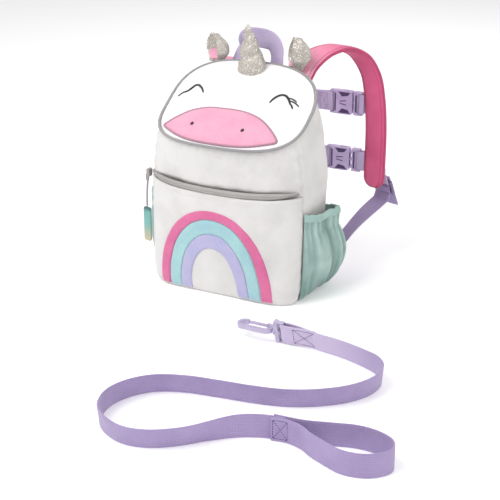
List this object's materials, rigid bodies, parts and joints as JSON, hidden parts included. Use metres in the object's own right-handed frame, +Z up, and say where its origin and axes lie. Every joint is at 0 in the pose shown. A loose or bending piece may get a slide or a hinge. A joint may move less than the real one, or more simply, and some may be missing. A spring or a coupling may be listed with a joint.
{
  "type": "toddler harness backpack",
  "caption": "Small soft backpack with an animal-face lid, front zip pocket, mesh side pockets, padded straps, chest straps and a clip-on tether.",
  "frame": {"origin": "middle of the bag's flat bottom, on the surface it stands on", "axes": "+Z up, -Y the front with the face and the pocket, +Y the wearer's side with the straps, +X to the right seen from the front"},
  "size_m": [0.4797, 0.5805, 0.3065],
  "materials": {
    "white_cloth": "woven",
    "white_plush": "short plush",
    "light_pink_plush": "short plush",
    "pink_plush": "short plush",
    "mint_plush": "short plush",
    "lilac_plush": "short plush",
    "mint_mesh": "stretch mesh",
    "mint_rubber": "satin",
    "silver_trim": "satin",
    "silver_metal": "satin",
    "silver_glitter": "glitter cloth",
    "pink_cloth": "woven",
    "lilac_web": "woven webbing",
    "lilac_plastic": "satin"
  },
  "bodies": {
    "bag": {"bag_shell": "white_cloth", "pocket_panel": "white_cloth", "zip_tape": "silver_trim", "zip_slider": "silver_metal", "pull_cord": "silver_trim", "pull_tab": "mint_rubber", "lid": "white_plush", "lid_piping": "silver_trim", "muzzle": "light_pink_plush", "horn": "silver_glitter", "ear_outer_left": "silver_glitter", "ear_lining_left": "light_pink_plush", "ear_outer_right": "silver_glitter", "ear_lining_right": "light_pink_plush", "rainbow_pink": "pink_plush", "rainbow_mint": "mint_plush", "rainbow_lilac": "lilac_plush", "mesh_pocket_right": "mint_mesh", "mesh_pocket_left": "mint_mesh", "pocket_hem_right": "mint_mesh", "pocket_hem_left": "mint_mesh", "lock_web_right": "lilac_web", "lock_web_left": "lilac_web", "lower_strap_right": "lilac_web", "lower_strap_left": "lilac_web", "ladder_lock_right": "lilac_plastic", "ladder_lock_left": "lilac_plastic", "shoulder_pad_right": "pink_cloth", "shoulder_pad_left": "pink_cloth", "chest_web_near_upper": "lilac_web", "chest_web_far_upper": "lilac_web", "buckle_socket_upper": "lilac_plastic", "buckle_prong_upper": "lilac_plastic", "chest_web_near_lower": "lilac_web", "chest_web_far_lower": "lilac_web", "buckle_socket_lower": "lilac_plastic", "buckle_prong_lower": "lilac_plastic", "grab_handle": "lilac_web", "tether_anchor": "lilac_web", "tether_web": "lilac_web", "tether_loop": "lilac_web", "tether_eye": "lilac_plastic"},
    "hook": {"tether_hook": "lilac_plastic"},
    "gate": {"tether_gate": "lilac_plastic"}
  },
  "joints": [
    {"name": "hook_swivel", "type": "hinge", "parent": "bag", "child": "hook", "pos_m": [0.1315, -0.1357, 0.0147], "axis": [1, 0, 0], "continuous": true},
    {"name": "gate_open", "type": "hinge", "parent": "hook", "child": "gate", "pos_m": [0.11, -0.1287, 0.0147], "axis": [0, 0, 1], "range_deg": [0, 22], "stiffness_Nm_per_rad": 0.02}
  ]
}
